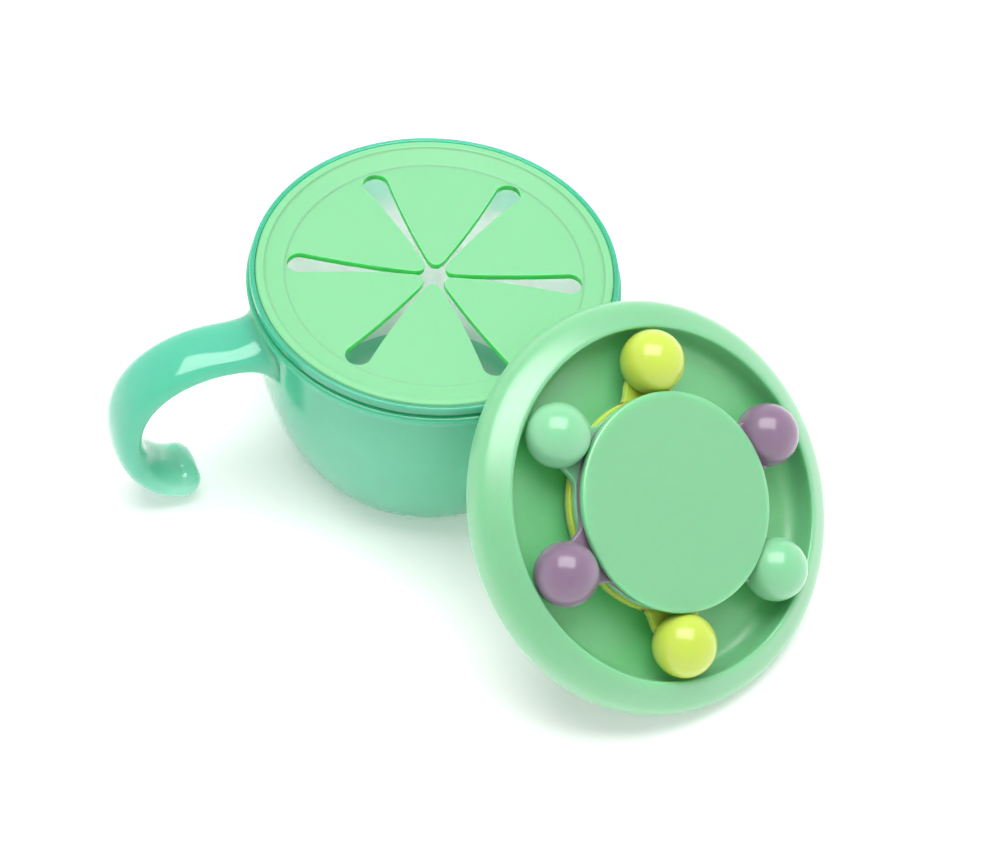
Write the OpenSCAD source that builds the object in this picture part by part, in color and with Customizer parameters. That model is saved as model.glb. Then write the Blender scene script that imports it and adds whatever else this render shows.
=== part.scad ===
// Toddler snack cup: a round cup with an open hook handle, a soft finger-trap insert in its rim,
// and a snap-on lid that carries three bead spinners under a hub cap.
// The cup stands on its base at the origin, its axis is +Z and its handle points along -X.
// The lid is off: its skirt stands on the table and its floor leans on the cup's rim.

/* [Cup] */
// Height of the cup from its base to the rim
cup_h = 64; // [60:1:70]
// Outer radius of the rim lip
rim_r = 50; // [49:0.5:52]
// Radius of the flat that the cup stands on
base_r = 33.5; // [28:0.5:36]
// Thickness of the cup's wall and floor
wall = 2; // [1.6:0.1:2.2]
// How far the wall runs almost straight down before it curves in
wall_reach = 37; // [25:1:45]
// How softly the wall turns into the base
base_turn = 3.5; // [2:0.5:10]

/* [Handle] */
// Distance from the cup's axis to the outermost point of the handle's centre line
handle_reach = 87.8; // [80:0.2:92]
// Height of the point where the handle grows out of the wall
handle_root_z = 47; // [42:1:50]
// Angle at which the handle leaves the wall, above level
handle_rise = 36; // [20:1:40]
// Width of the handle, across the hand
handle_w = 17.2; // [14:0.2:19]
// Thickness of the handle at its middle
handle_t = 7.8; // [6.5:0.1:10]
// Thickness of the handle at its rounded tip
tip_t = 10.2; // [8:0.2:12]

/* [Finger trap] */
// Clearance between the soft insert and the rim around it
insert_gap = 0.3; // [0.2:0.05:0.5]
// Thickness of the six soft flaps
flap_t = 1.8; // [1.4:0.1:2.2]
// Radius of the circle on which the slots' round ends lie
slot_end_r = 36.4; // [35:0.2:37]
// Half of a slot's width at its round end
slot_half_w = 3.6; // [3:0.1:4]
// Distance from the axis to a flap's tip
flap_tip_r = 3.7; // [3.4:0.1:4.5]
// Turn of the slots about the cup's axis
slot_turn = 36.2; // [0:0.2:60]

/* [Lid] */
// Largest radius of the lid
lid_r = 55.3; // [54.5:0.1:58]
// Height of the lid's crest above its widest plane
crest_h = 9.2; // [8:0.1:10]
// Radius of the trough's outer wall
trough_r = 46.8; // [46.7:0.1:47.4]
// Depth of the skirt below the widest plane
skirt_h = 3.5; // [3:0.1:4.5]
// Lean of the lid away from level
lid_tilt = 41.3; // [38:0.1:46]
// Direction in which the lid leans out from the cup
lid_turn = -65.8; // [-110:0.2:-40]

/* [Spinners] */
// Radius of a bead
bead_r = 8.65; // [8:0.05:8.7]
// Radius of the circle on which the beads run
orbit_r = 37.6; // [37.5:0.05:37.8]
// Height of the beads' centres above the lid's widest plane
bead_h = 10.3; // [10.2:0.1:11]
// Radius of the hub cap
cap_r = 29.4; // [28.8:0.1:29.4]
// Angle of the yellow spinner about the lid's axis
yellow_turn = 152.5; // [150:0.5:155]
// Angle of the mint spinner about the lid's axis
mint_turn = 210.4; // [208:0.2:213]
// Angle of the purple spinner about the lid's axis
purple_turn = 267.8; // [265:0.2:270]

/* [Hidden] */
$fn = 96;

teal = [0.38, 0.80, 0.69];
insert_green = [0.62, 0.94, 0.70];
lid_mint = [0.55, 0.85, 0.64];
bead_yellow = [0.82, 0.90, 0.36];
bead_mint = [0.52, 0.87, 0.70];
bead_purple = [0.65, 0.52, 0.65];

// Cup rim, from the top down: lip, snap groove for the lid, rounded collar
lip_h = 2.4;
groove_h = 1.1;
collar_h = 1.9;
groove_r = rim_r - 0.8;
collar_r = rim_r + 0.9;
groove_top = cup_h - lip_h;
collar_top = groove_top - groove_h;
body_top = collar_top - collar_h;
body_r = rim_r - 0.3;
bore_r = body_r - wall;
ledge_z = groove_top;
ledge_r = rim_r - 1.45;
edge_round = 0.3;
curve_steps = 18;

// Soft insert: an outer bead in the rim, a sloping band, a small step and the flat disc with its flaps
insert_r = ledge_r - insert_gap;
disc_top = cup_h - 1.6;
disc_bottom = disc_top - flap_t;
flap_mid = disc_top - flap_t / 2;
plug_r = bore_r - insert_gap - 0.1;
plug_bottom = cup_h - 6.2;
// Distance from the axis to the line that a flap bends about
flap_line = 33;
flap_gap = 0.3;
flap_root_r = flap_t / 2;
flap_hole = flap_line + flap_root_r + flap_gap;
slot_half_centre = 0.6;
flap_steps = 8;
step_in_r = 40.4;
step_out_r = 41;
step_rise = 0.35;
band_out_r = 45.6;
bead_in_r = 46.8;
bead_out_r = 47.6;
bead_rise = 0.2;
plug_wall = 1.8;
plug_foot_r = 44.6;

// Lid section, measured from the lid's axis and its widest plane
floor_top = 0.9;
floor_bottom = -1.2;
trough_fillet = 5;
fillet_shell = 0.8;
skirt_in_r = rim_r + 0.35;
skirt_out_r = rim_r + 2.3;
snap_r = rim_r - 0.35;
snap_h = 0.7;
roof_h = crest_h - 2;
crest_r = 49.2;
crest_start = [lid_r, 5.4];
crest_end = [52.8, crest_h];
lip_r = 47.6;
post_r = 24;
post_in_r = 22;
post_top = 12.1;
shoulder_r = 26.5;
shoulder_top = 4.9;
snap_z = 7;
snap_depth = 0.5;

// Spinner rings are stacked on the hub post, yellow lowest and purple highest
ring_in_r = post_r + 0.25;
ring_out_r = 28.3;
// The yellow ring is the lowest and stands out a little from under the others
yellow_step = 0.5;
ring_t = 2;
ring_gap = 0.3;
ring_pitch = ring_t + ring_gap;
ring_base = shoulder_top + ring_gap;
// Each arm is a wide web that flares from the ring up to the bead, and a narrow tongue in the bead's pocket
web_root = [25.6, 10.6];
web_root_pull = [2, -2.6];
web_neck = [30.2, 7.2];
web_neck_pull = [-1.4, 0.3];
web_end = [33.2, 6.6];
web_gap = 0.12;
web_curve_steps = 6;
tongue_half = 2.7;
tongue_start = 27;
tongue_end = 35.5;

// Cap section
cap_top = 15.1;
cap_crown = 0.4;
cap_under_r = 28.3;
cap_skirt_in = 20;
cap_skirt_bottom = 5.8;
cap_flat_r = 18;
cap_wide_h = 13.7;

// The lid's seat: its lowest point touches the table and its floor rests on the rim's top edge
rest_gap = 0.25;
skirt_start = [lid_r, -1.2];
skirt_end = [lid_r - 1.4, -2.7];
skirt_curve = [for (i = [0:6]) bezier([lid_r, 0], skirt_start, skirt_end, [skirt_out_r, -skirt_h], i / 6)];
lid_z = max([for (p = skirt_curve) p[0] * sin(lid_tilt) - p[1] * cos(lid_tilt)]);
lid_out = rim_r + ((cup_h - lid_z) * cos(lid_tilt) - floor_bottom + rest_gap) / sin(lid_tilt);

// Handle sweep
handle_rings = 34;
handle_sides = 20;
tip_rings = 5;
tip_sweep = 84;
squareness = 2.3;
root_flare = 22;
// Length of the handle's first curve, so that the flare can be given in millimetres
root_length = 50;
root_r = 46;
root_w = 23.2;
root_t = 13.4;
root_pull = 18.3;
root_inset = 5;
bend_z = 28.5;
bend_up = 24;
bend_down = 12.6;
tip_r = 72.7;
tip_z = 6.7;
tip_pull = 5.3;

function bezier(a, b, c, d, t) =
    pow(1 - t, 3) * a + 3 * pow(1 - t, 2) * t * b + 3 * (1 - t) * t * t * c + pow(t, 3) * d;
function bezier_way(a, b, c, d, t) =
    3 * pow(1 - t, 2) * (b - a) + 6 * (1 - t) * t * (c - b) + 3 * t * t * (d - c);
function unit(v) = v / norm(v);
function left_of(v) = [-v[1], v[0]];

// Outer face of the cup's wall, from under the collar to the base
wall_a = [body_r, body_top];
wall_b = [body_r, body_top - wall_reach];
wall_c = [base_r + base_turn, 0];
wall_d = [base_r, 0];
function wall_point(t) = bezier(wall_a, wall_b, wall_c, wall_d, t);
function wall_inner(t) =
    wall_point(t) - wall * left_of(unit(bezier_way(wall_a, wall_b, wall_c, wall_d, t)));

// Half of a slot's width at a distance s along it from the cup's axis
function slot_half(s) = slot_half_centre + (slot_half_w - slot_half_centre) * pow(s / slot_end_r, 2);
function flap_edge(s, side) =
    [s * cos(30) + slot_half(s) * sin(30), side * (s * sin(30) - slot_half(s) * cos(30))];
// Distances along a slot at which a flap's straight edge starts and at which it meets its root
flap_start = 4.6;
flap_finish = (flap_line - 0.5 * slot_half(slot_end_r)) / cos(30);
root_half = flap_edge(flap_finish, 1)[1];

module rim_section() {
    outer = [for (i = [0:curve_steps]) wall_point(i / curve_steps)];
    inner = [for (i = [curve_steps:-1:0]) wall_inner(i / curve_steps)];
    collar_z = collar_top - collar_h / 2;
    collar = [
        for (a = [90:-22.5:-90])
            [body_r + (collar_r - body_r) * cos(a), collar_z + collar_h / 2 * sin(a)]
    ];
    polygon(concat(
        [[ledge_r + edge_round, cup_h], [rim_r - edge_round, cup_h], [rim_r, cup_h - edge_round]],
        [[rim_r, groove_top + 0.2], [rim_r - 0.2, groove_top]],
        [[groove_r, groove_top], [groove_r, collar_top]],
        collar,
        outer,
        [[0, 0], [0, wall]],
        inner,
        [[bore_r, ledge_z], [ledge_r, ledge_z], [ledge_r, cup_h - edge_round]]
    ));
}

module cup_bowl() {
    color(teal) rotate_extrude() rim_section();
}

module cup_outside() {
    outer = [for (i = [0:curve_steps]) wall_point(i / curve_steps)];
    rotate_extrude() polygon(concat([[0, body_top]], outer, [[0, 0]]));
}

// Centre line of the handle, as distance from the cup's axis and height; u runs from 0 to 2
root_way = [cos(handle_rise), sin(handle_rise)];
root_point = [root_r, handle_root_z];
bend_point = [handle_reach, bend_z];
tip_point = [tip_r, tip_z];
function handle_line(u) =
    u <= 1
        ? bezier(root_point, root_point + root_pull * root_way, bend_point + [0, bend_up], bend_point, u)
        : bezier(bend_point, bend_point - [0, bend_down], tip_point + [tip_pull, 0], tip_point, u - 1);
function handle_way(u) =
    unit(u <= 1
        ? bezier_way(root_point, root_point + root_pull * root_way, bend_point + [0, bend_up], bend_point, u)
        : bezier_way(bend_point, bend_point - [0, bend_down], tip_point + [tip_pull, 0], tip_point, u - 1));
function flare(u) = pow(max(0, 1 - root_length * u / root_flare), 2);
function width_at(u) = handle_w + (root_w - handle_w) * flare(u);
function thickness_at(u) = handle_t + (root_t - handle_t) * flare(u) + (tip_t - handle_t) * max(0, u - 1);
function rounded(v) = sign(v) * pow(abs(v), 2 / squareness);

// One ring of the handle: a rounded oval across the centre line
function handle_ring(at, way, w, t) = [
    for (k = [0:handle_sides - 1])
        let (a = 360 * k / handle_sides, off = t / 2 * rounded(sin(a)))
            [-(at[0] - way[1] * off), w / 2 * rounded(cos(a)), at[1] + way[0] * off]
];

module handle_sweep() {
    start = handle_ring(root_point - root_inset * root_way, root_way, root_w, root_t);
    middle = [
        for (i = [0:handle_rings])
            let (u = 2 * i / handle_rings)
                handle_ring(handle_line(u), handle_way(u), width_at(u), thickness_at(u))
    ];
    end_way = handle_way(2);
    tip = [
        for (j = [1:tip_rings])
            let (a = tip_sweep * j / tip_rings, at = tip_point + tip_t / 2 * sin(a) * end_way)
                handle_ring(at, end_way, (handle_w - tip_t) + tip_t * cos(a), tip_t * cos(a))
    ];
    rings = concat([start], middle, tip);
    n = handle_sides;
    last = len(rings) - 1;
    points = [for (r = rings) for (p = r) p];
    sides = [
        for (i = [0:last - 1]) for (k = [0:n - 1])
            let (a = i * n + k, b = i * n + (k + 1) % n)
                each [[a, a + n, b], [b, a + n, b + n]]
    ];
    start_cap = [[for (k = [0:n - 1]) k]];
    end_cap = [[for (k = [n - 1:-1:0]) last * n + k]];
    polyhedron(points, concat(sides, start_cap, end_cap));
}

module cup_handle() {
    color(teal) difference() {
        handle_sweep();
        cup_outside();
    }
}

module insert_section() {
    polygon([
        [0, disc_bottom], [0, disc_top], [step_in_r, disc_top], [step_out_r, disc_top + step_rise],
        [band_out_r, cup_h - 0.45], [band_out_r + 0.5, cup_h + 0.05], [bead_in_r, cup_h + bead_rise],
        [bead_out_r, cup_h + bead_rise], [insert_r, cup_h - 0.2],
        [insert_r, ledge_z + 0.2], [plug_r, ledge_z + 0.2], [plug_r, plug_bottom + 0.5],
        [plug_r - 0.4, plug_bottom], [plug_r - plug_wall, plug_bottom], [plug_foot_r, disc_bottom]
    ]);
}

module slot_ends() {
    for (k = [0:5]) rotate(slot_turn + 60 * k) translate([slot_end_r, 0]) circle(slot_half_w);
}

module finger_trap_ring() {
    color(insert_green) difference() {
        rotate_extrude() insert_section();
        translate([0, 0, disc_bottom - 1]) linear_extrude(flap_t + 2) {
            rotate(slot_turn) circle(flap_hole / cos(30), $fn = 6);
            slot_ends();
        }
    }
}

// A flap lies along +X, from its rounded tip to the line that it bends about
module flap_outline() {
    tip_half = flap_edge(flap_start, 1)[1];
    s_step = (flap_finish - flap_start) / flap_steps;
    upper = [for (i = [0:flap_steps]) flap_edge(flap_start + i * s_step, 1)];
    lower = [for (i = [flap_steps:-1:0]) flap_edge(flap_start + i * s_step, -1)];
    intersection() {
        union() {
            polygon(concat(upper, [[flap_line, root_half], [flap_line, -root_half]], lower));
            translate([flap_tip_r + tip_half, 0]) circle(tip_half);
        }
        translate([flap_tip_r, -flap_line]) square([flap_line - flap_tip_r, 2 * flap_line]);
    }
}

module finger_flap(number) {
    color(insert_green) rotate(slot_turn + 30 + 60 * (number - 1)) {
        translate([0, 0, disc_bottom]) linear_extrude(flap_t) flap_outline();
        translate([flap_line, root_half, flap_mid]) rotate([90, 0, 0])
            cylinder(r = flap_root_r, h = 2 * root_half);
    }
}

// Puts what is drawn on the lid's own axis where the leaning lid is
module on_lid() {
    translate([lid_out * cos(lid_turn), lid_out * sin(lid_turn), lid_z])
        rotate([0, lid_tilt, lid_turn])
            children();
}

module lid_section() {
    crest = [for (i = [0:8]) bezier([lid_r, 0], crest_start, crest_end, [crest_r, crest_h], i / 8)];
    fillet_r = trough_r - trough_fillet;
    fillet = [
        for (a = [0:-15:-90])
            [fillet_r + trough_fillet * cos(a), floor_top + trough_fillet + trough_fillet * sin(a)]
    ];
    under_r = trough_fillet + (floor_top - floor_bottom) * fillet_shell;
    under = [
        for (a = [-90:15:0])
            [fillet_r + under_r * cos(a), floor_bottom + under_r + under_r * sin(a)]
    ];
    polygon(concat(
        [for (i = [6:-1:1]) skirt_curve[i]],
        crest,
        [[lip_r, crest_h - 0.15], [trough_r + 0.15, crest_h - 0.55], [trough_r, crest_h - 1.1]],
        fillet,
        [[shoulder_r + 0.8, floor_top], [shoulder_r, floor_top + 0.8], [shoulder_r, shoulder_top]],
        [[post_r, shoulder_top], [post_r, post_top], [post_in_r, post_top]],
        [[post_in_r, snap_z + 1], [post_in_r + snap_depth, snap_z + 0.4]],
        [[post_in_r + snap_depth, snap_z - 0.4], [post_in_r, snap_z - 1]],
        [[post_in_r, floor_top], [0, floor_top], [0, floor_bottom]],
        under,
        [[fillet_r + under_r, roof_h], [skirt_in_r, roof_h - 0.3]],
        [[skirt_in_r, -skirt_h + snap_h + 0.5], [snap_r, -skirt_h + snap_h], [snap_r, -skirt_h + 0.3]],
        [[snap_r + 0.5, -skirt_h]]
    ));
}

module lid_shell() {
    color(lid_mint) on_lid() rotate_extrude() lid_section();
}

module hub_cap() {
    color(lid_mint) on_lid() rotate_extrude() polygon([
        [0, post_top], [cap_skirt_in, post_top], [cap_skirt_in, cap_skirt_bottom],
        [post_in_r - 0.6, cap_skirt_bottom], [post_in_r, snap_z - 1], [post_in_r + snap_depth, snap_z - 0.4],
        [post_in_r + snap_depth, snap_z + 0.4], [post_in_r, snap_z + 1], [post_in_r, post_top],
        [cap_under_r, post_top], [cap_r - 0.35, cap_wide_h - 0.8], [cap_r, cap_wide_h],
        [cap_r - 0.1, cap_wide_h + 0.6], [cap_r - 0.45, cap_top - 0.3], [cap_r - 1.1, cap_top],
        [cap_flat_r, cap_top + cap_crown * 0.7], [0, cap_top + cap_crown]
    ]);
}

// One spinner arm lies along +X: its web flares from the ring and clears the bead
module web_outline() {
    upper = [
        for (i = [0:web_curve_steps])
            bezier(web_root, web_root + web_root_pull, web_neck + web_neck_pull, web_neck, i / web_curve_steps)
    ];
    edge = concat(upper, [web_end]);
    polygon(concat(edge, [for (i = [len(edge) - 1:-1:0]) [edge[i][0], -edge[i][1]]]));
}

module tongue(level) {
    translate([tongue_start, -tongue_half, ring_base + level * ring_pitch])
        cube([tongue_end - tongue_start, 2 * tongue_half, ring_t]);
}

module spinner_arm(level) {
    difference() {
        translate([0, 0, ring_base + level * ring_pitch]) linear_extrude(ring_t) web_outline();
        translate([orbit_r, 0, bead_h]) sphere(bead_r + web_gap);
    }
    tongue(level);
}

module spinner_ring(level, turn, shade) {
    out_r = level == 0 ? ring_out_r + yellow_step : ring_out_r;
    color(shade) on_lid() rotate(turn) {
        difference() {
            union() {
                translate([0, 0, ring_base + level * ring_pitch]) cylinder(r = out_r, h = ring_t);
                for (side = [0, 180]) rotate(side) spinner_arm(level);
            }
            translate([0, 0, ring_base + level * ring_pitch - 1]) cylinder(r = ring_in_r, h = ring_t + 2);
        }
    }
}

module bead(level, turn, shade) {
    color(shade) on_lid() rotate(turn) difference() {
        translate([orbit_r, 0, bead_h]) sphere(bead_r);
        tongue(level);
    }
}

cup_bowl();
cup_handle();
finger_trap_ring();
finger_flap(1);  // finger_flap_1
finger_flap(2);  // finger_flap_2
finger_flap(3);  // finger_flap_3
finger_flap(4);  // finger_flap_4
finger_flap(5);  // finger_flap_5
finger_flap(6);  // finger_flap_6
lid_shell();
hub_cap();
spinner_ring(0, yellow_turn, bead_yellow);  // spinner_ring_yellow
spinner_ring(1, mint_turn, bead_mint);  // spinner_ring_mint
spinner_ring(2, purple_turn, bead_purple);  // spinner_ring_purple
bead(0, yellow_turn, bead_yellow);  // bead_yellow_a
bead(0, yellow_turn + 180, bead_yellow);  // bead_yellow_b
bead(1, mint_turn, bead_mint);  // bead_mint_a
bead(1, mint_turn + 180, bead_mint);  // bead_mint_b
bead(2, purple_turn, bead_purple);  // bead_purple_a
bead(2, purple_turn + 180, bead_purple);  // bead_purple_b
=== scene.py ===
# A toddler's snack cup with its lid off: the lid leans on the cup and shows its three bead spinners.
# The frame gives every place and joint. This script gives each piece its finished form and material.
import math

import bpy
from mathutils import Matrix, Vector


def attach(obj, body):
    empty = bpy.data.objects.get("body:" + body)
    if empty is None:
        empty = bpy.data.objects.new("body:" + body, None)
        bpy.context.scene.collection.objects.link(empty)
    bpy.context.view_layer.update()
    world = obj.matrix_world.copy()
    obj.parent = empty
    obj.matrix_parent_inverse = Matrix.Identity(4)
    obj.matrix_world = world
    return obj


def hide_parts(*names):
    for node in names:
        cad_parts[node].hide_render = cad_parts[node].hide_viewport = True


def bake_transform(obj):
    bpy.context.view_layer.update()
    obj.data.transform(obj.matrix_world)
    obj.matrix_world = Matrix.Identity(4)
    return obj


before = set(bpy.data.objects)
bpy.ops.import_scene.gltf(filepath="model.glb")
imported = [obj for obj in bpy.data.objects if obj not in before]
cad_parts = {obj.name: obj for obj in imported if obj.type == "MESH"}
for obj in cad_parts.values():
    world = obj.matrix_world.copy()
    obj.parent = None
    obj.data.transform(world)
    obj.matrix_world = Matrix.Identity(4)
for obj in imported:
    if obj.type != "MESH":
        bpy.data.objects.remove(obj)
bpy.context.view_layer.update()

# ---------------------------------------------------------------------------------------------
# Table, light and camera.
# The set stands on a plain white table, under a big soft box that hangs overhead and a little
# behind, in a white room. The camera is a long lens, held high and rolled a little to one side.
# ---------------------------------------------------------------------------------------------
mm = 0.001
scene = bpy.context.scene
scene.view_settings.view_transform = "Standard"
scene.cycles.use_denoising = True
scene.cycles.max_bounces = 24
scene.cycles.diffuse_bounces = 12

table_white = bpy.data.materials.new("table_white")
table_white.use_nodes = True
nodes, links = table_white.node_tree.nodes, table_white.node_tree.links
table_top = nodes["Principled BSDF"]
table_top.inputs["Roughness"].default_value = 0.9
table_top.inputs["Specular IOR Level"].default_value = 0.1
table_top.inputs["Emission Color"].default_value = (1, 1, 1, 1)
table_top.inputs["Emission Strength"].default_value = 0.22
spot = nodes.new("ShaderNodeTexCoord")
mottle = nodes.new("ShaderNodeTexNoise")
mottle.inputs["Scale"].default_value = 6
tone = nodes.new("ShaderNodeValToRGB")
tone.color_ramp.elements[0].color = (0.88, 0.885, 0.88, 1)
tone.color_ramp.elements[1].color = (0.9, 0.9, 0.9, 1)
links.new(spot.outputs["Object"], mottle.inputs["Vector"])
links.new(mottle.outputs["Fac"], tone.inputs["Fac"])
links.new(tone.outputs["Color"], table_top.inputs["Base Color"])

bpy.ops.object.select_all(action="DESELECT")
bpy.ops.mesh.primitive_plane_add(size=6, location=(0, 0, -0.05 * mm))
table = bpy.context.object
table.name = "table"
table.data.materials.append(table_white)

room = bpy.data.worlds.new("white_room")
scene.world = room
room.use_nodes = True
nodes, links = room.node_tree.nodes, room.node_tree.links
nodes["Background"].inputs["Color"].default_value = (1.0, 0.985, 0.99, 1)
way_up = nodes.new("ShaderNodeTexCoord")
height = nodes.new("ShaderNodeSeparateXYZ")
walls = nodes.new("ShaderNodeMapRange")
walls.inputs["From Min"].default_value = 0.0
walls.inputs["From Max"].default_value = 0.7
walls.inputs["To Min"].default_value = 1.2
walls.inputs["To Max"].default_value = 0.5
links.new(way_up.outputs["Generated"], height.inputs["Vector"])
links.new(height.outputs["Z"], walls.inputs["Value"])
links.new(walls.outputs["Result"], nodes["Background"].inputs["Strength"])

soft_box = bpy.data.objects.new("soft_box", bpy.data.lights.new("soft_box", "AREA"))
scene.collection.objects.link(soft_box)
soft_box.data.shape = "RECTANGLE"
soft_box.data.size = 1.05
soft_box.data.size_y = 0.74
soft_box.data.energy = 13.3
soft_box.location = (0.0, 0.03, 1.05)
soft_box.rotation_euler = (0, 0, math.radians(-24.8))

turn, rise, roll = math.radians(-24.8), 0.8605923, 0.0916261
aim = Vector((0, 0, 64 * mm))
aside, below, away = 17.5587 * mm, 41.2560 * mm, 1024.989 * mm
right = Vector((math.cos(turn), math.sin(turn), 0))
back = Vector((math.sin(turn) * math.cos(rise), -math.cos(turn) * math.cos(rise), math.sin(rise)))
up = back.cross(right)
side = math.cos(roll) * right + math.sin(roll) * up
top = -math.sin(roll) * right + math.cos(roll) * up
place = aim + aside * side - below * top + away * back
camera = bpy.data.objects.new("camera", bpy.data.cameras.new("camera"))
scene.collection.objects.link(camera)
camera.data.sensor_width = 36
camera.data.lens = 136.8
camera.matrix_world = Matrix.Translation(place) @ Matrix((side, top, back)).transposed().to_4x4()
scene.camera = camera

# ---------------------------------------------------------------------------------------------
# Cup bowl: one polypropylene moulding, clear enough to let light through but milky.
# Under the lip a groove takes the lid's snap bead, and a rounded collar stops the lid's skirt.
# The wall runs almost straight down and then turns in to a flat base with a shallow recess.
# ---------------------------------------------------------------------------------------------
cup_h, rim_r, base_r, wall = 64, 50, 33.5, 2
lip_z, collar_top, body_top = 61.6, 60.5, 58.6
groove_r, collar_r, body_r = 49.2, 50.9, 49.7
bore_r, ledge_r = 47.7, 48.55


def curve_point(a, b, c, d, t):
    return (1 - t) ** 3 * a + 3 * (1 - t) ** 2 * t * b + 3 * (1 - t) * t * t * c + t**3 * d


def soft_line(corners, steps=5):
    """Corners (across, up, softness) become a line that is rounded at each corner."""
    line = []
    for i, (x, z, soft) in enumerate(corners):
        here = Vector((x, z))
        if not soft:
            line.append(here)
            continue
        before = here + (Vector(corners[i - 1][:2]) - here).normalized() * soft
        after = here + (Vector(corners[(i + 1) % len(corners)][:2]) - here).normalized() * soft
        for k in range(steps + 1):
            t = k / steps
            line.append((1 - t) ** 2 * before + 2 * (1 - t) * t * here + t * t * after)
    return line


def turned(name, line, steps=160, ring=False):
    """A piece turned about the Z axis: its section is drawn point by point, in millimetres, and spun."""
    bpy.ops.object.select_all(action="DESELECT")
    bpy.ops.mesh.primitive_plane_add(size=mm, location=(0, 0, 0))
    piece = bpy.context.object
    piece.name = piece.data.name = name
    bpy.ops.object.mode_set(mode="EDIT")
    bpy.ops.mesh.select_all(action="SELECT")
    bpy.ops.mesh.merge(type="CENTER")
    bpy.ops.transform.translate(value=(line[0].x * mm, 0, line[0].y * mm))
    for here, there in zip(line, line[1:] + line[:1] * ring):
        step = (there - here) * mm
        bpy.ops.mesh.extrude_vertices_move(TRANSFORM_OT_translate={"value": (step.x, 0, step.y)})
    bpy.ops.mesh.select_all(action="SELECT")
    bpy.ops.mesh.spin(steps=steps, angle=2 * math.pi, center=(0, 0, 0), axis=(0, 0, 1))
    bpy.ops.mesh.select_all(action="SELECT")
    bpy.ops.mesh.remove_doubles(threshold=0.002 * mm)
    bpy.ops.mesh.normals_make_consistent(inside=False)
    bpy.ops.object.mode_set(mode="OBJECT")
    bpy.ops.object.shade_smooth_by_angle(angle=math.radians(38))
    return piece


def moulded(name, pale, deep, rough, grain=0.03, glow=0.0, glow_depth=3.0, worn=0.05):
    """Moulded plastic: slow drifts of tone, a fine skin, and a shine that varies a little."""
    material = bpy.data.materials.new(name)
    material.use_nodes = True
    nodes, links = material.node_tree.nodes, material.node_tree.links
    shader = nodes["Principled BSDF"]
    spot = nodes.new("ShaderNodeTexCoord")
    drift = nodes.new("ShaderNodeTexNoise")
    drift.inputs["Scale"].default_value = 28
    drift.inputs["Detail"].default_value = 3
    tone = nodes.new("ShaderNodeValToRGB")
    tone.color_ramp.elements[0].position = 0.3
    tone.color_ramp.elements[0].color = (*deep, 1)
    tone.color_ramp.elements[1].position = 0.7
    tone.color_ramp.elements[1].color = (*pale, 1)
    rub = nodes.new("ShaderNodeTexNoise")
    rub.inputs["Scale"].default_value = 240
    rub.inputs["Detail"].default_value = 4
    shine = nodes.new("ShaderNodeMapRange")
    shine.inputs["To Min"].default_value = rough - worn
    shine.inputs["To Max"].default_value = rough + worn
    skin = nodes.new("ShaderNodeTexNoise")
    skin.inputs["Scale"].default_value = 1800
    skin.inputs["Detail"].default_value = 2
    bump = nodes.new("ShaderNodeBump")
    bump.inputs["Strength"].default_value = grain
    bump.inputs["Distance"].default_value = 0.1 * mm
    for noise in (drift, rub, skin):
        links.new(spot.outputs["Object"], noise.inputs["Vector"])
    links.new(drift.outputs["Fac"], tone.inputs["Fac"])
    links.new(tone.outputs["Color"], shader.inputs["Base Color"])
    links.new(rub.outputs["Fac"], shine.inputs["Value"])
    links.new(shine.outputs["Result"], shader.inputs["Roughness"])
    links.new(skin.outputs["Fac"], bump.inputs["Height"])
    links.new(bump.outputs["Normal"], shader.inputs["Normal"])
    shader.inputs["IOR"].default_value = 1.49
    shader.inputs["Subsurface Weight"].default_value = glow
    shader.inputs["Subsurface Scale"].default_value = glow_depth * mm
    shader.inputs["Subsurface Radius"].default_value = (0.3, 1.0, 0.5)
    return material


def finish_piece(piece, material, slot, body, *stands_for):
    """Gives a piece its material, its body and the nodes that it stands for. Its slot in the record is not
    used.
    """
    piece.data.materials.clear()
    piece.data.materials.append(material)
    if body:
        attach(piece, body)
    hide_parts(*stands_for)


wall_line = [
    Vector(p) for p in ((body_r, body_top), (body_r, body_top - 37), (base_r + 3.5, 0), (base_r, 0))
]
outer = [curve_point(*wall_line, t / 40) for t in range(40, -1, -1)]
inner = []
for i, point in enumerate(outer):
    along = outer[min(i + 1, 40)] - outer[max(i - 1, 0)]
    inner.append(point + wall * Vector((-along.y, along.x)).normalized())
collar = [
    Vector((body_r + 1.2 * math.cos(a), 59.55 + 0.95 * math.sin(a)))
    for a in (math.radians(d) for d in range(-80, 91, 10))
]
rim = soft_line([
    (body_r, collar_top, 0), (groove_r, collar_top, 0.2), (groove_r, lip_z, 0.2), (rim_r, lip_z, 0.25),
    (rim_r, cup_h, 0.55), (ledge_r, cup_h, 0.45), (ledge_r, lip_z, 0.15), (bore_r, lip_z, 0.3),
    (bore_r, 58, 0),
])[1:-1]
bowl_line = (
    [Vector((0, 0.4)), Vector((27, 0.4)), Vector((27.8, 0.3)), Vector((28.6, 0))]
    + outer + collar + rim + [Vector((bore_r, 59.5))] + inner[::-1][1:-1]
    + [Vector((inner[0].x, wall)), Vector((0, wall))]
)
cup_bowl = turned("cup_bowl_piece", bowl_line, 192)

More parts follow.
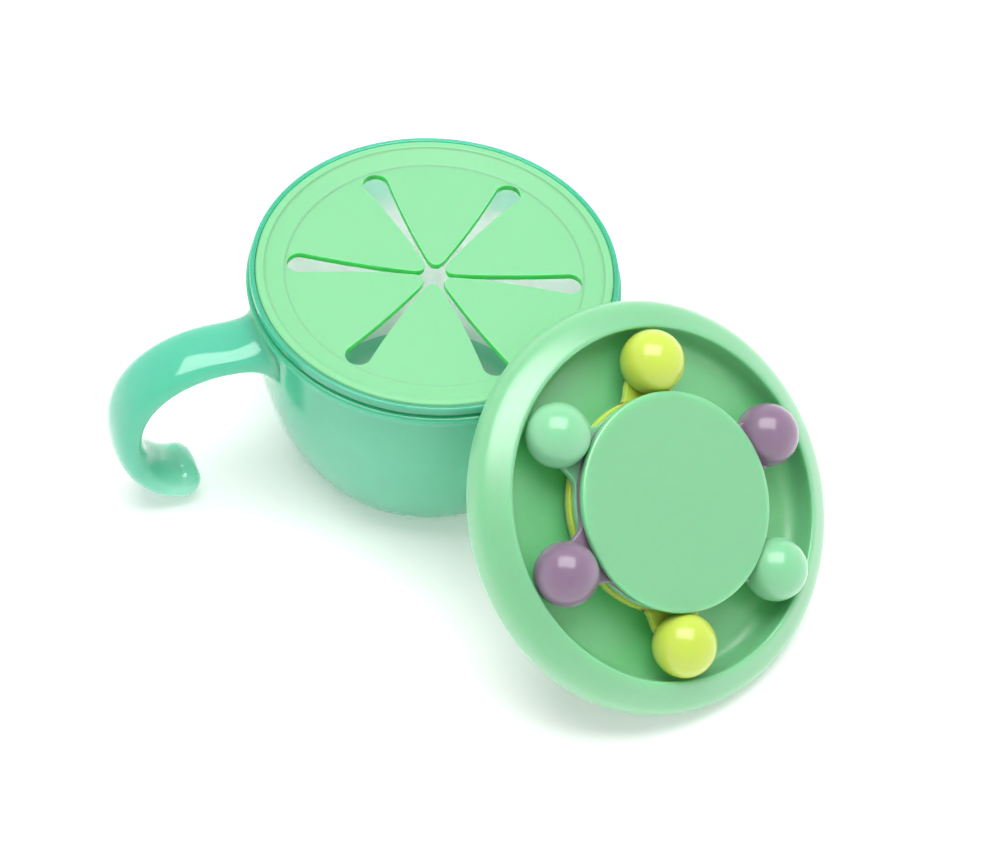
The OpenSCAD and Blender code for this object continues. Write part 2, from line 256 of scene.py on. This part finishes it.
# ---------------------------------------------------------------------------------------------
# Cup handle: an open hook for a small hand, moulded in one with the bowl.
# It is lofted along its centre line from ring to ring. Its root spreads out and lies down on the
# wall in a soft fillet, and its foot ends in a thick round tip.
# ---------------------------------------------------------------------------------------------
handle_sides = 48
handle_wide, handle_through, tip_through = 17.2, 7.8, 10.2
root_point, bend_point, tip_point = Vector((46, 47)), Vector((87.8, 28.5)), Vector((72.7, 6.7))
root_way = Vector((math.cos(math.radians(36)), math.sin(math.radians(36))))
upper_arc = (root_point, root_point + 18.3 * root_way, bend_point + Vector((0, 24)), bend_point)
lower_arc = (bend_point, bend_point - Vector((0, 12.6)), tip_point + Vector((5.3, 0)), tip_point)


def handle_at(u):
    arc, t = (upper_arc, u) if u <= 1 else (lower_arc, u - 1)
    a, b, c, d = arc
    way = 3 * (1 - t) ** 2 * (b - a) + 6 * (1 - t) * t * (c - b) + 3 * t * t * (d - c)
    return curve_point(a, b, c, d, t), way.normalized()


def oval(angle, wide, thick):
    """A point of the handle's section, a little fuller than an ellipse: across it, and through it."""
    c, s = math.cos(angle), math.sin(angle)
    full = 2 / 2.3
    return wide / 2 * math.copysign(abs(c) ** full, c), thick / 2 * math.copysign(abs(s) ** full, s)


def handle_ring(at, way, wide, thick):
    ring = []
    for k in range(handle_sides):
        across, through = oval(2 * math.pi * k / handle_sides, wide, thick)
        ring.append(Vector((-(at.x - way.y * through), across, at.y + way.x * through)) * mm)
    return ring


def wall_radius(z):
    """Radius of the bowl's outer face at a height."""
    for low, high in zip(outer, outer[1:]):
        if low.y <= z <= high.y:
            return low.x + (high.x - low.x) * (z - low.y) / (high.y - low.y)
    return body_r


def on_wall(across, z, sink):
    radius = wall_radius(z) - sink
    bearing = across / radius
    return Vector((-radius * math.cos(bearing), radius * math.sin(bearing), z)) * mm


# The fillet leaves the wall slightly below its face, follows it, and meets the hook a little way out.
rings = []
leave = 0.29
at, way = handle_at(leave)
first = handle_ring(at, way, handle_wide, handle_through)
foot_z, foot_wide, foot_high, foot_sink = 50.2, 28.4, 21.5, 0.45
wall_pull, hook_pull = 3.0, 9
for j in range(17):
    t = j / 16
    ring = []
    for k in range(handle_sides):
        across, through = oval(2 * math.pi * k / handle_sides, foot_wide, foot_high)
        foot = on_wall(across, min(foot_z + through, collar_top), foot_sink * (1 - t) ** 3)
        beyond = on_wall(across * 1.12, foot_z + through * 1.16, 0)
        pull_in = foot - (beyond - on_wall(across, foot_z + through, 0)) * wall_pull
        pull_out = first[k] - Vector((-way.x, 0, way.y)) * hook_pull * mm
        ring.append(curve_point(foot, pull_in, pull_out, first[k], t))
    rings.append(ring)
for i in range(1, 45):
    u = leave + (2 - leave) * i / 44
    at, way = handle_at(u)
    through = handle_through + (tip_through - handle_through) * max(0, u - 1)
    rings.append(handle_ring(at, way, handle_wide, through))
for d in (14, 28, 42, 55, 66, 76, 84):
    a = math.radians(d)
    narrow = tip_through * math.cos(a)
    middle = tip_point + tip_through / 2 * math.sin(a) * way
    rings.append(handle_ring(middle, way, handle_wide - tip_through + narrow, narrow))


def lofted(name, rings):
    """A ring of edges is added, and then extruded and set down on each next ring. Its ends are filled."""
    bpy.ops.object.select_all(action="DESELECT")
    bpy.ops.mesh.primitive_circle_add(vertices=len(rings[0]), radius=mm)
    piece = bpy.context.object
    piece.name = piece.data.name = name
    for vertex, spot in zip(piece.data.vertices, rings[0]):
        vertex.co = spot
    bpy.ops.object.mode_set(mode="EDIT")
    bpy.ops.mesh.select_all(action="SELECT")
    for ring in rings[1:]:
        bpy.ops.mesh.extrude_edges_move()
        bpy.ops.object.mode_set(mode="OBJECT")
        new = [v for v in piece.data.vertices if v.select]
        for vertex, spot in zip(new, ring):
            vertex.co = spot
        bpy.ops.object.mode_set(mode="EDIT")
    bpy.ops.mesh.select_all(action="DESELECT")
    bpy.ops.mesh.select_non_manifold()
    bpy.ops.mesh.fill_holes(sides=0)
    bpy.ops.mesh.select_all(action="SELECT")
    bpy.ops.mesh.normals_make_consistent(inside=False)
    bpy.ops.object.mode_set(mode="OBJECT")
    bpy.ops.object.shade_smooth_by_angle(angle=math.radians(40))
    return piece


cup_handle = lofted("cup_handle_piece", rings)
bpy.ops.object.select_all(action="DESELECT")
bpy.context.view_layer.objects.active = cup_bowl
cup_bowl.select_set(True)
join = cup_bowl.modifiers.new("handle", "BOOLEAN")
join.operation = "UNION"
join.solver = "EXACT"
join.object = cup_handle
bpy.ops.object.modifier_apply(modifier="handle")
bpy.data.objects.remove(cup_handle)
bpy.ops.object.shade_smooth_by_angle(angle=math.radians(38))


def fade(nodes, links, value, start, end, low=0.0, high=1.0):
    """A mask that goes from low to high as a value goes from start to end."""
    node = nodes.new("ShaderNodeMapRange")
    for name, number in (("From Min", start), ("From Max", end), ("To Min", low), ("To Max", high)):
        node.inputs[name].default_value = number
    links.new(value, node.inputs["Value"])
    return node.outputs["Result"]


def worked_out(nodes, links, operation, first, second):
    """The larger of two masks, their product or their difference."""
    node = nodes.new("ShaderNodeMath")
    node.operation = operation
    links.new(first, node.inputs[0])
    links.new(second, node.inputs[1])
    return node.outputs["Value"]


def two_toned(nodes, links, mask, plain, other):
    """A tone that turns into another one where a mask is 1. Each is a colour or comes from a node."""
    node = nodes.new("ShaderNodeMix")
    node.data_type = "RGBA"
    links.new(mask, node.inputs[0])
    for colour, socket in ((plain, node.inputs[6]), (other, node.inputs[7])):
        if isinstance(colour, tuple):
            socket.default_value = (*colour, 1)
        else:
            links.new(colour, socket)
    return node.outputs[2]


cup_teal = moulded("cup_teal", (0.17, 0.82, 0.50), (0.165, 0.805, 0.49), 0.11, 0.01, 1.0, 9.0, 0.03)
# The tip's tone is painted paler: painted light for light that comes through the thick tip.
handle_teal, rim_teal, painted_light_tip = (0.105, 0.53, 0.365), (0.055, 0.42, 0.235), (0.32, 0.74, 0.58)
# Painted light: a pale tone for the wall's inner face, standing in for light that comes into the cup through
# its walls and base.
painted_light_white = (0.92, 0.98, 0.93)
thin_clear, thick_clear = 0.6, 0.15
nodes, links = cup_teal.node_tree.nodes, cup_teal.node_tree.links
shader, spot, tone = nodes["Principled BSDF"], nodes["Texture Coordinate"], nodes["Color Ramp"]
shader.inputs["Subsurface Radius"].default_value = (0.6, 1.0, 0.8)
shader.inputs["Coat Weight"].default_value = 0.25
shader.inputs["Coat Roughness"].default_value = 0.04

# How far a place is from the cup's axis, and whether its face looks at the axis or up
place_on = nodes.new("ShaderNodeSeparateXYZ")
face_way = nodes.new("ShaderNodeSeparateXYZ")
outward = nodes.new("ShaderNodeVectorMath")
outward.operation = "MULTIPLY"
outward.inputs[1].default_value = (1, 1, 0)
from_axis = nodes.new("ShaderNodeVectorMath")
from_axis.operation = "LENGTH"
facing = nodes.new("ShaderNodeVectorMath")
facing.operation = "DOT_PRODUCT"
floor_too = nodes.new("ShaderNodeMath")
floor_too.operation = "MULTIPLY_ADD"
floor_too.inputs[1].default_value = -10 * mm
links.new(spot.outputs["Object"], place_on.inputs["Vector"])
links.new(spot.outputs["Normal"], face_way.inputs["Vector"])
links.new(spot.outputs["Object"], outward.inputs[0])
links.new(outward.outputs["Vector"], from_axis.inputs[0])
links.new(outward.outputs["Vector"], facing.inputs[0])
links.new(spot.outputs["Normal"], facing.inputs[1])
links.new(face_way.outputs["Z"], floor_too.inputs[0])
links.new(facing.outputs["Value"], floor_too.inputs[2])
across, up_from_base, distance = place_on.outputs["X"], place_on.outputs["Z"], from_axis.outputs["Value"]

# The thick rim and handle are deeper in tone than the wall. The wall's inner face is painted paler: painted
# light that stands in for light coming in through the walls and base.
rim_mask = fade(nodes, links, up_from_base, 56.5 * mm, 59 * mm)
handle_mask = fade(nodes, links, distance, 49.8 * mm, 51.4 * mm)
past_bore = fade(nodes, links, distance, 48.2 * mm, 48.9 * mm)
inside = fade(nodes, links, floor_too.outputs["Value"], -1 * mm, -6 * mm)
# Painted light: low down, where the hook turns back in, the tip is painted paler, standing in for light that
# passes through it into its shaded inner face.
low_down = fade(nodes, links, up_from_base, 24 * mm, 8 * mm)
turned_in = fade(nodes, links, across, -88 * mm, -76 * mm)
thick = worked_out(nodes, links, "MAXIMUM", rim_mask, handle_mask)
not_inside = worked_out(nodes, links, "MAXIMUM", thick, past_bore)
painted_light_face = worked_out(nodes, links, "SUBTRACT", inside, not_inside)
painted_light_tip_mask = worked_out(nodes, links, "MULTIPLY", low_down, turned_in)
thick_tone = two_toned(nodes, links, rim_mask, handle_teal, rim_teal)
thick_tone = two_toned(nodes, links, painted_light_tip_mask, thick_tone, painted_light_tip)
outer_tone = two_toned(nodes, links, thick, tone.outputs["Color"], thick_tone)
# Painted light: the inner face takes the pale tone.
cup_tone = two_toned(nodes, links, painted_light_face, outer_tone, painted_light_white)
links.new(cup_tone, shader.inputs["Base Color"])
clear = fade(nodes, links, thick, 0, 1, thin_clear, thick_clear)
links.new(clear, shader.inputs["Transmission Weight"])
finish_piece(cup_bowl, cup_teal, "cup_teal", "cup", "cup_bowl", "cup_handle")

# ---------------------------------------------------------------------------------------------
# Finger trap: a soft green elastomer insert that is pushed into the cup's rim.
# Its ring has an outer bead, a band that slopes down to a soft step, and a plug wall in the bore.
# ---------------------------------------------------------------------------------------------
step_r, disc_top, flap_t = 40.4, 62.4, 1.8
disc_bottom = disc_top - flap_t
insert_green = moulded("insert_green", (0.21, 0.545, 0.28), (0.205, 0.535, 0.272), 0.46, 0.03, 1.0, 1.2)
nodes, links = insert_green.node_tree.nodes, insert_green.node_tree.links
# Where a slot cuts the sheet, one looks along it, and its cut faces are painted a brighter, deeper green: a
# painted glow standing in for light that travels through the sheet and bounces between the flaps. The flaps
# say where that is.
painted_glow_green = (0.12, 0.80, 0.20)
cut_face = nodes.new("ShaderNodeAttribute")
cut_face.attribute_name = "cut"
sheet_tone = two_toned(nodes, links, cut_face.outputs["Fac"], nodes["Color Ramp"].outputs["Color"], painted_glow_green)
links.new(sheet_tone, nodes["Principled BSDF"].inputs["Base Color"])
ring_line = soft_line([
    (step_r, disc_bottom, 0), (step_r, disc_top, 0), (40.95, 62.72, 0.25), (45.6, 63.5, 0.6),
    (46.25, 64.1, 0.35), (47.7, 64.2, 0.4), (48.42, 63.7, 0.3), (48.42, 61.8, 0.1), (47.3, 61.8, 0.1),
    (47.3, 58.2, 0.2), (46.9, 57.8, 0.2), (45.5, 57.8, 0.3), (44.6, 60.6, 0.5),
])
insert_ring = turned("insert_ring_piece", ring_line, 192, ring=True)
finish_piece(insert_ring, insert_green, "insert_green", "insert", "finger_trap_ring")

# ---------------------------------------------------------------------------------------------
# Six flaps: the insert's disc, cut by six slots that widen from the middle to a round end.
# Each flap bends along its root, so it is one soft sheet that joins the ring at the step and
# sags a little towards its tip.
# ---------------------------------------------------------------------------------------------
slot_turn, slot_end_r, slot_half_w = 36.2, 36.4, 3.6
tip_round_r, tip_round_at, flap_sag = 1.74, 5.44, 0.55


def slot_edge(rho):
    """Angle from the slot's centre line to its edge, at a distance from the cup's axis."""
    if rho >= slot_end_r + slot_half_w:
        return 0
    s = rho
    for _ in range(20):
        half = 0.6 + 3.0 * (s / slot_end_r) ** 2
        s = math.sqrt(max(rho * rho - half * half, 0.01))
        if s > slot_end_r:
            break
    if s <= slot_end_r:
        return math.atan2(half, s)
    x = (rho * rho + slot_end_r**2 - slot_half_w**2) / (2 * slot_end_r)
    return math.acos(min(1, x / rho))


columns = 28
reach = (
    [3.7 + 0.35 * i / 6 for i in range(6)] + [4.05 + (36.6 - 4.05) * i / 44 for i in range(45)]
    + [36.6 + 3.4 * math.sin(math.pi / 2 * i / 13) for i in range(1, 14)] + [step_r]
)
rows = len(reach) - 1
for number in range(1, 7):
    bpy.ops.object.select_all(action="DESELECT")
    bpy.ops.mesh.primitive_grid_add(x_subdivisions=rows, y_subdivisions=columns, size=1)
    flap = bpy.context.object
    flap.name = flap.data.name = f"flap_{number}_piece"
    middle = math.radians(slot_turn + 30 + 60 * (number - 1))
    for vertex in flap.data.vertices:
        i = round((vertex.co.x + 0.5) * rows)
        share = vertex.co.y * 2
        rho = reach[i]
        half = math.radians(30) - slot_edge(rho)
        if rho < 5.4:
            round_half = math.sqrt(max(tip_round_r**2 - (tip_round_at - rho) ** 2, 0.02))
            half = min(half, math.asin(min(1, round_half / rho)))
        bearing = middle + share * half
        sag = -flap_sag * max(0, 1 - rho / 34) ** 1.5
        vertex.co = Vector((rho * math.cos(bearing), rho * math.sin(bearing), disc_bottom + sag)) * mm
    thickness = flap.modifiers.new("thickness", "SOLIDIFY")
    thickness.thickness = flap_t * mm
    thickness.offset = 1
    bpy.ops.object.modifier_apply(modifier="thickness")
    soft_edge = flap.modifiers.new("soft_edge", "BEVEL")
    soft_edge.width = 0.22 * mm
    soft_edge.segments = 3
    soft_edge.angle_limit = math.radians(60)
    bpy.ops.object.modifier_apply(modifier="soft_edge")
    bpy.ops.object.shade_smooth_by_angle(angle=math.radians(40))
    cut = flap.data.attributes.new("cut", "FLOAT", "FACE")
    for face in flap.data.polygons:
        at_slot = math.hypot(face.center.x, face.center.y) < (step_r - 0.2) * mm
        cut.data[face.index].value = float(at_slot and abs(face.normal.z) < 0.6)
    finish_piece(flap, insert_green, "insert_green", None, f"finger_flap_{number}")
    height = Vector((0, 0, 61.5 * mm))
    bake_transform(flap)

# ---------------------------------------------------------------------------------------------
# Lid shell: a satin polypropylene moulding with a broad round flange, a ring-shaped trough for
# the beads and a hub post with a shoulder for the spinners. Below the flange, a skirt with a snap
# bead grips the cup's rim. All of the lid is modelled flat and then leant on the cup.
# ---------------------------------------------------------------------------------------------
lid_r, trough_r = 55.3, 46.8
lid_centre = Vector((33.81698607, -75.24620652, 37.38169918)) * mm
lid_place = (
    Matrix.Translation(lid_centre)
    @ Matrix.Rotation(math.radians(-65.8), 4, "Z")
    @ Matrix.Rotation(math.radians(41.3), 4, "Y")
)


def lean_on_cup(piece):
    piece.matrix_world = lid_place @ piece.matrix_world
    bpy.ops.object.select_all(action="DESELECT")
    piece.select_set(True)
    bpy.context.view_layer.objects.active = piece
    bpy.ops.object.transform_apply(location=True, rotation=True, scale=True)


lid_mint = moulded("lid_mint", (0.18, 0.505, 0.257), (0.175, 0.495, 0.252), 0.35, 0.05, 1.0, 6.0, 0.03)
shader = lid_mint.node_tree.nodes["Principled BSDF"]
shader.inputs["Coat Weight"].default_value = 1.0
shader.inputs["Coat Roughness"].default_value = 0.34
shader.inputs["Specular IOR Level"].default_value = 0.75
flange_line = [Vector(p) for p in ((lid_r, 0), (lid_r, 4.9), (54.4, 6.0), (48.2, 9.2))]
skirt_line = [Vector(p) for p in ((52.3, -3.5), (53.9, -2.7), (lid_r, -1.2), (lid_r, 0))]
flange = [curve_point(*flange_line, t / 20) for t in range(20)]
skirt = [curve_point(*skirt_line, t / 10) for t in range(10)]
trough = [
    Vector((trough_r - 5 + 5 * math.cos(a), 5.9 + 5 * math.sin(a)))
    for a in (math.radians(d) for d in range(0, -91, -10))
]
hub = soft_line([
    (26.9, 0.9, 0.35), (26.5, 1.3, 0.3), (26.5, 4.9, 0.25), (24, 4.9, 0.1), (24, 12.1, 0.2), (22, 12.1, 0.2),
    (22, 8, 0.2), (22.5, 7.4, 0.15), (22.5, 6.6, 0.15), (22, 6, 0.2), (22, 0.9, 0.3), (0, 0.9, 0),
])
under = [
    Vector((trough_r - 5 + 6.68 * math.cos(a), 5.48 + 6.68 * math.sin(a)))
    for a in (math.radians(d) for d in range(-90, 1, 10))
]
grip = soft_line([
    (48.48, 7.2, 0.4), (50.35, 6.9, 0.4), (50.35, -2.3, 0.25), (49.65, -2.8, 0.15), (49.65, -3.2, 0.1),
    (50.15, -3.5, 0.15),
])
shell_line = (
    skirt + flange
    + soft_line([(48.2, 9.2, 0), (47.2, 9.38, 0.5), (trough_r, 8.7, 0.4), (trough_r, 8.0, 0.3)]) + trough
    + hub + [Vector((0, -1.2))] + under + grip
)
lid_shell = turned("lid_shell_piece", shell_line, 224, ring=True)
lean_on_cup(lid_shell)
finish_piece(lid_shell, lid_mint, "lid_mint", "lid", "lid_shell")

# ---------------------------------------------------------------------------------------------
# Hub cap: a low-crowned mint disc that snaps into the hub post and keeps the spinners on it.
# Its face is bare, and its rim is rounded where a thumb rests.
# ---------------------------------------------------------------------------------------------
crown = [Vector(p) for p in ((0, 15.5), (6, 15.49), (12, 15.44), (18, 15.37), (23, 15.27))]
cap_line = crown + soft_line([
    (28.0, 15.15, 0.6), (29.25, 14.85, 0.45), (29.4, 13.9, 0.4), (29.2, 12.9, 0.4), (28.3, 12.1, 0.35),
    (22.0, 12.1, 0.1), (22, 8, 0.2), (22.5, 7.4, 0.15), (22.5, 6.6, 0.15), (22, 6, 0.15), (21.4, 5.8, 0.15),
    (20, 5.8, 0.3), (20, 12.1, 0.4), (0, 12.1, 0),
])
hub_cap = turned("hub_cap_piece", cap_line, 192)
lean_on_cup(hub_cap)
finish_piece(hub_cap, lid_mint, "lid_mint", "lid", "hub_cap")

# ---------------------------------------------------------------------------------------------
# Three spinners: each is a flat ring with two arms that flare from it, and two glossy beads
# pressed on the arms. The rings lie one above the other on the hub post, yellow lowest.
# ---------------------------------------------------------------------------------------------
bead_r, orbit_r, bead_h = 8.65, 37.6, 10.3
ring_in, ring_out, yellow_step, ring_t = 24.25, 28.3, 0.5, 2
ring_low, ring_pitch = 6.2, 2.3
slot_half_y, slot_half_z, slot_floor = 6.2, 1.12, -2.2
web_bearing = math.tan(math.radians(21.5))
web_rows = (
    (27.15, 9.0, 1.75), (27.8, 8.3, 1.6), (28.6, 7.75, 1.3), (29.5, 7.38, 0.9),
    (30.6, 7.1, 0.5), (31.8, 6.8, 0.2), (32.8, 6.4, 0.05), (33.6, 5.9, 0.01),
)


def pull_web(piece, way):
    """Pulls one arm out of the ring's outer edge, row by row, with a bow between each row's ends."""
    bpy.ops.object.mode_set(mode="EDIT")
    bpy.ops.mesh.select_all(action="DESELECT")
    bpy.ops.mesh.select_mode(type="EDGE")
    bpy.ops.object.mode_set(mode="OBJECT")
    picked = []
    for edge in piece.data.edges:
        ends = [piece.data.vertices[v].co / mm for v in edge.vertices]
        edge.select = all(p.length > ring_out - 0.1 and abs(p.y) < web_bearing * way * p.x for p in ends)
        picked += ends * edge.select
    x, y = min(way * p.x for p in picked), max(p.y for p in picked)
    bow = max(way * p.x for p in picked) - x
    bpy.ops.object.mode_set(mode="EDIT")
    for row_x, row_y, row_bow in web_rows:
        bpy.ops.mesh.extrude_edges_move(TRANSFORM_OT_translate={"value": (way * (row_x - x) * mm, 0, 0)})
        centre = (way * row_x * mm, 0, 0)
        bpy.ops.transform.resize(value=(row_bow / bow, row_y / y, 1), center_override=centre)
        x, y, bow = row_x, row_y, row_bow
    bpy.ops.object.mode_set(mode="OBJECT")


def spinner_ring(name, level, bearing):
    outside = ring_out + yellow_step * (level == 0)
    bpy.ops.object.select_all(action="DESELECT")
    bpy.ops.mesh.primitive_circle_add(vertices=120, radius=ring_in * mm)
    piece = bpy.context.object
    piece.name = piece.data.name = name
    bpy.ops.object.mode_set(mode="EDIT")
    bpy.ops.mesh.select_all(action="SELECT")
    bpy.ops.mesh.extrude_edges_move()
    bpy.ops.transform.resize(value=(outside / ring_in,) * 2 + (1,))
    bpy.ops.object.mode_set(mode="OBJECT")
    pull_web(piece, 1)
    pull_web(piece, -1)
    bpy.ops.object.mode_set(mode="EDIT")
    bpy.ops.mesh.select_all(action="SELECT")
    bpy.ops.mesh.normals_make_consistent(inside=False)
    bpy.ops.object.mode_set(mode="OBJECT")
    body = piece.modifiers.new("body", "SOLIDIFY")
    body.thickness = ring_t * mm
    body.offset = 0
    bpy.ops.object.modifier_apply(modifier="body")
    edge = piece.modifiers.new("edge", "BEVEL")
    edge.width = 0.4 * mm
    edge.segments = 4
    edge.angle_limit = math.radians(50)
    bpy.ops.object.modifier_apply(modifier="edge")
    bpy.ops.object.shade_smooth_by_angle(angle=math.radians(40))
    lift = Matrix.Translation((0, 0, (ring_low + ring_pitch * level) * mm))
    piece.matrix_world = Matrix.Rotation(math.radians(bearing), 4, "Z") @ lift
    return piece


def pick_faces(piece, test):
    """Selects the faces whose middle, in millimetres, passes a test, and goes to edit mode."""
    bpy.ops.object.mode_set(mode="EDIT")
    bpy.ops.mesh.select_mode(type="FACE")
    bpy.ops.mesh.select_all(action="DESELECT")
    bpy.ops.object.mode_set(mode="OBJECT")
    for face in piece.data.polygons:
        face.select = test(face.center / mm)
    bpy.ops.object.mode_set(mode="EDIT")


def bead(name, level, bearing):
    """A ball with a slot on its inner side, into which the arm goes."""
    bpy.ops.object.select_all(action="DESELECT")
    bpy.ops.mesh.primitive_uv_sphere_add(segments=96, ring_count=64, radius=bead_r * mm)
    piece = bpy.context.object
    piece.name = piece.data.name = name
    middle = ring_low + ring_pitch * level - bead_h
    near = lambda c: c.x < -1 and abs(c.y) < slot_half_y + 0.7 and abs(c.z - middle) < slot_half_z + 0.7
    for sign in (-1, 1):
        pick_faces(piece, near)
        bpy.ops.mesh.bisect(plane_co=(0, 0, (middle + sign * slot_half_z) * mm), plane_no=(0, 0, 1))
        pick_faces(piece, near)
        bpy.ops.mesh.bisect(plane_co=(0, sign * slot_half_y * mm, 0), plane_no=(0, 1, 0))
    pick_faces(piece, lambda c: c.x < 0 and abs(c.y) < slot_half_y and abs(c.z - middle) < slot_half_z)
    bpy.ops.mesh.extrude_region_move(TRANSFORM_OT_translate={"value": (0, 0, 0)})
    bpy.ops.transform.resize(value=(0, 1, 1), center_override=(slot_floor * mm, 0, 0))
    bpy.ops.object.mode_set(mode="OBJECT")
    bpy.ops.object.shade_smooth_by_angle(angle=math.radians(30))
    lift = Matrix.Translation((orbit_r * mm, 0, bead_h * mm))
    piece.matrix_world = Matrix.Rotation(math.radians(bearing), 4, "Z") @ lift
    return piece


spinners = (
    ("yellow", 0, 152.5, (0.52, 0.63, 0.085), (0.51, 0.61, 0.08)),
    ("mint", 1, 210.4, (0.24, 0.56, 0.33), (0.235, 0.55, 0.32)),
    ("purple", 2, 267.8, (0.25, 0.165, 0.255), (0.245, 0.16, 0.248)),
)
for colour, level, bearing, pale, deep in spinners:
    gloss = moulded(f"bead_{colour}", pale, deep, 0.22, 0.004, 1.0, 4.0, 0.02)
    shader = gloss.node_tree.nodes["Principled BSDF"]
    shader.inputs["Coat Weight"].default_value = 0.25
    shader.inputs["Coat Roughness"].default_value = 0.12
    ring_piece = spinner_ring(f"spinner_{colour}_piece", level, bearing)
    lean_on_cup(ring_piece)
    finish_piece(ring_piece, gloss, f"bead_{colour}", f"spinner_{colour}", f"spinner_ring_{colour}")
    for letter, half_turn in (("a", 0), ("b", 180)):
        ball = bead(f"bead_{colour}_{letter}_piece", level, bearing + half_turn)
        lean_on_cup(ball)
        finish_piece(ball, gloss, f"bead_{colour}", f"spinner_{colour}", f"bead_{colour}_{letter}")
